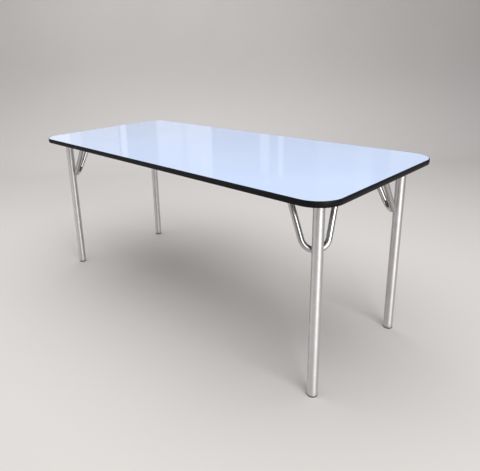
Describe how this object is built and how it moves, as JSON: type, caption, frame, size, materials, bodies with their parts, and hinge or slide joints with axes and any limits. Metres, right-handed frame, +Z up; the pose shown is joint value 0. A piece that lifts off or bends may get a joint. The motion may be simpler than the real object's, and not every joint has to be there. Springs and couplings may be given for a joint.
{
  "type": "canteen table",
  "caption": "Long rectangular canteen table with rounded corners, light blue laminate top, black edging and round steel legs stiffened by bent tube braces.",
  "frame": {"origin": "on the floor, under the middle of the table top", "axes": "+X along the long side, +Y from the front to the back, +Z up"},
  "size_m": [1.8, 0.8, 0.76],
  "materials": {
    "blue_laminate": "glossy light blue",
    "particle_board": "raw",
    "brown_backing": "matte dark brown resin paper",
    "black_edging": "satin black",
    "polished_steel": "bright polished",
    "plate_steel": "satin",
    "zinc_steel": "zinc plated",
    "black_plastic": "matte black"
  },
  "bodies": {
    "root": {"top_laminate": "blue_laminate", "board_core": "particle_board", "backing_sheet": "brown_backing", "edge_band": "black_edging", "leg_tube_front_left": "polished_steel", "leg_tube_front_right": "polished_steel", "leg_tube_back_right": "polished_steel", "leg_tube_back_left": "polished_steel", "brace_front_left": "polished_steel", "brace_front_right": "polished_steel", "brace_back_right": "polished_steel", "brace_back_left": "polished_steel", "mounting_plate_front_left": "plate_steel", "mounting_plate_front_right": "plate_steel", "mounting_plate_back_right": "plate_steel", "mounting_plate_back_left": "plate_steel", "foot_plug_front_left": "black_plastic", "foot_plug_front_right": "black_plastic", "foot_plug_back_right": "black_plastic", "foot_plug_back_left": "black_plastic", "plate_screw_front_left_1": "zinc_steel", "plate_screw_front_left_2": "zinc_steel", "plate_screw_front_left_3": "zinc_steel", "plate_screw_front_left_4": "zinc_steel", "plate_screw_front_right_1": "zinc_steel", "plate_screw_front_right_2": "zinc_steel", "plate_screw_front_right_3": "zinc_steel", "plate_screw_front_right_4": "zinc_steel", "plate_screw_back_right_1": "zinc_steel", "plate_screw_back_right_2": "zinc_steel", "plate_screw_back_right_3": "zinc_steel", "plate_screw_back_right_4": "zinc_steel", "plate_screw_back_left_1": "zinc_steel", "plate_screw_back_left_2": "zinc_steel", "plate_screw_back_left_3": "zinc_steel", "plate_screw_back_left_4": "zinc_steel"}
  },
  "joints": []
}
